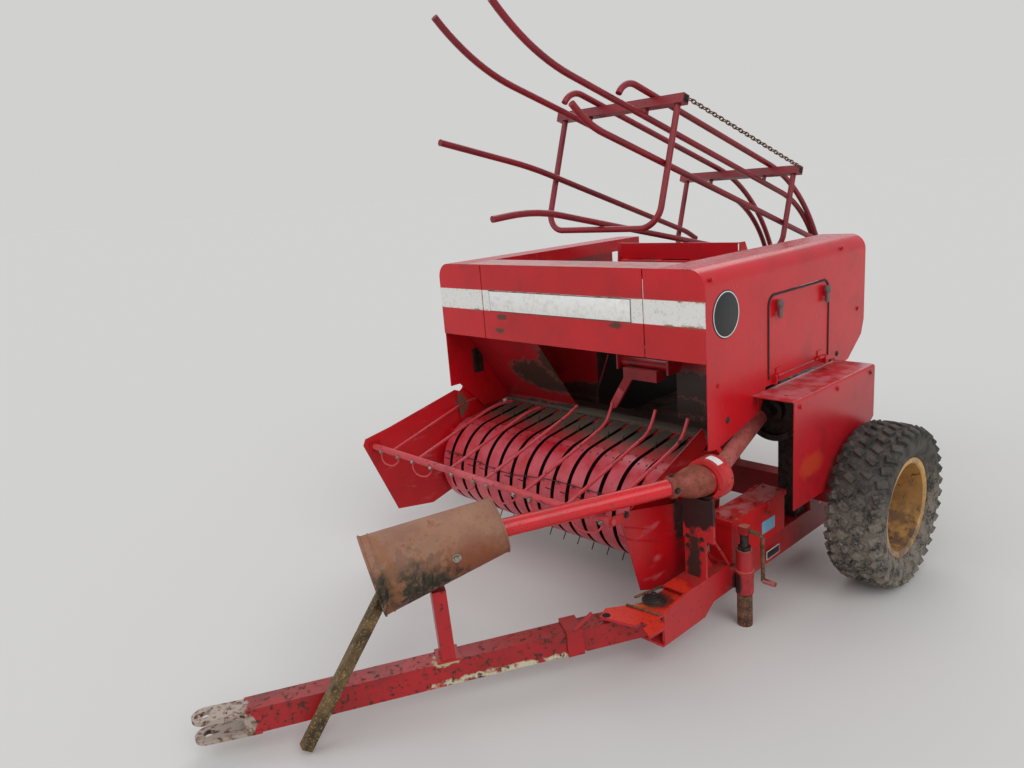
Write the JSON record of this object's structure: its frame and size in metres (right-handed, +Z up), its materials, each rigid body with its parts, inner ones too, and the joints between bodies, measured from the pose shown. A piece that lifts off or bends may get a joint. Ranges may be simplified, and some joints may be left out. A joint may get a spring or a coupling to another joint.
{
  "type": "square baler",
  "caption": "Pulled square baler with hood, pickup with guard bands, swinging tongue with drive line, parking jack, bale chamber, needles and a folded bale chute of bent tubes.",
  "frame": {"origin": "middle of the hitch pin bore at the tongue's front end", "axes": "+X to the machine's left-hand side, +Y rearwards along the machine, +Z up"},
  "size_m": [2.522, 3.702, 2.3268],
  "materials": {
    "hood_paint": "glossy red with wear",
    "frame_paint": "worn red",
    "chute_paint": "dark red, worn",
    "bell_paint": "weathered pink orange",
    "rusty_steel": "rusty",
    "dark_steel": "oily dark",
    "tyre_rubber": "muddy",
    "rim_paint": "yellow ochre, rusty"
  },
  "bodies": {
    "chassis": {"main_frame": "frame_paint", "axle": "frame_paint", "chamber_floor": "frame_paint", "chamber_roof": "frame_paint", "chamber_left": "frame_paint", "chamber_right": "frame_paint", "tension_rails": "chute_paint", "gearbox": "dark_steel", "hood_front": "hood_paint", "hood_left": "hood_paint", "hood_right": "hood_paint", "hood_roof": "hood_paint", "drive_shield": "hood_paint", "knotter_frame": "dark_steel", "cover_brackets": "hood_paint", "toolbox": "frame_paint", "feeder_housing": "frame_paint", "drive_stand": "frame_paint", "rear_tube": "bell_paint", "jack_sleeve": "frame_paint"},
    "wheel_left": {"tyre_left": "tyre_rubber", "rim_left": "rim_paint"},
    "wheel_right": {"tyre_right": "tyre_rubber", "rim_right": "rim_paint"},
    "tongue": {"tongue": "frame_paint", "tongue_lock": "frame_paint", "support_post": "frame_paint"},
    "drive_line": {"front_tube": "frame_paint", "front_bell": "bell_paint"},
    "drive_bar": {"square_drive_bar": "rusty_steel"},
    "pickup": {"pickup_frame": "frame_paint", "gather_left": "frame_paint", "gather_right": "frame_paint", "pickup_bands": "frame_paint"},
    "reel": {"pickup_reel": "dark_steel"},
    "windguard": {"windguard": "frame_paint"},
    "flywheel": {"flywheel": "dark_steel"},
    "packer": {"packer": "frame_paint"},
    "door": {"access_door": "hood_paint"},
    "toolbox_lid": {"toolbox_lid": "frame_paint"},
    "knotter_cover": {"knotter_cover": "hood_paint"},
    "jack_leg": {"jack_leg": "rusty_steel"},
    "jack_crank": {"jack_crank": "rusty_steel"},
    "chute": {"chute_rails": "chute_paint", "chute_hoops": "chute_paint", "chute_chain": "dark_steel"},
    "needles": {"needle_yoke": "chute_paint"}
  },
  "joints": [
    {"name": "wheel_left_spin", "type": "hinge", "parent": "chassis", "child": "wheel_left", "pos_m": [1.15, 2.402, 0.235], "axis": [1, 0, 0], "continuous": true},
    {"name": "wheel_right_spin", "type": "hinge", "parent": "chassis", "child": "wheel_right", "pos_m": [-1.15, 2.402, 0.235], "axis": [1, 0, 0], "continuous": true},
    {"name": "tongue_swing", "type": "hinge", "parent": "chassis", "child": "tongue", "pos_m": [0.77, 1.349, 0.058], "axis": [0, 0, 1], "range_deg": [0, 29.5]},
    {"name": "drive_yaw", "type": "hinge", "parent": "chassis", "child": "drive_line", "pos_m": [0.84, 1.61, 0.526], "axis": [0, 0, 1], "range_deg": [0, 23.8]},
    {"name": "drive_bar_swing", "type": "hinge", "parent": "drive_line", "child": "drive_bar", "pos_m": [0.34529, 0.57515, 0.456], "axis": [-0.8996, 0.4368, 0], "range_deg": [0, 30]},
    {"name": "pickup_lift", "type": "hinge", "parent": "chassis", "child": "pickup", "pos_m": [0, 2, 0.49], "axis": [1, 0, 0], "range_deg": [0, 9]},
    {"name": "reel_spin", "type": "hinge", "parent": "pickup", "child": "reel", "pos_m": [0, 1.725, 0.291], "axis": [1, 0, 0], "continuous": true},
    {"name": "windguard_lift", "type": "hinge", "parent": "pickup", "child": "windguard", "pos_m": [0, 1.227, 0.454], "axis": [1, 0, 0], "range_deg": [0, 15]},
    {"name": "flywheel_spin", "type": "hinge", "parent": "chassis", "child": "flywheel", "pos_m": [0.79, 2.2, 0.638], "axis": [0, 1, 0], "continuous": true},
    {"name": "packer_swing", "type": "hinge", "parent": "chassis", "child": "packer", "pos_m": [0.19, 1.99, 0.813], "axis": [1, 0, 0], "range_deg": [-20, 25]},
    {"name": "door_swing", "type": "hinge", "parent": "chassis", "child": "door", "pos_m": [0.858, 2.254, 0.809], "axis": [0, 1, 0], "range_deg": [0, 100]},
    {"name": "toolbox_lid_swing", "type": "hinge", "parent": "chassis", "child": "toolbox_lid", "pos_m": [0.747, 1.93, 0.31258], "axis": [0, -1, 0], "range_deg": [0, 95]},
    {"name": "knotter_cover_swing", "type": "hinge", "parent": "chassis", "child": "knotter_cover", "pos_m": [0.124, 2.453, 1.199], "axis": [1, 0, 0], "range_deg": [0, 100]},
    {"name": "jack_leg_slide", "type": "slide", "parent": "chassis", "child": "jack_leg", "axis": [0, 0, 1], "range_m": [0, 0.06]},
    {"name": "jack_crank_turn", "type": "hinge", "parent": "chassis", "child": "jack_crank", "pos_m": [0.92, 1.739, 0.292], "axis": [1, 0, 0], "continuous": true},
    {"name": "chute_fold", "type": "hinge", "parent": "chassis", "child": "chute", "pos_m": [0.124, 3.62, 0.858], "axis": [-1, 0, 0], "range_deg": [0, 160]},
    {"name": "needle_lift", "type": "hinge", "parent": "chassis", "child": "needles", "pos_m": [0.124, 2.42, 0.44], "axis": [1, 0, 0], "range_deg": [0, 56]}
  ],
  "couplings": [
    {"joint": "drive_yaw", "follows": "tongue_swing", "ratio": 0.8}
  ]
}
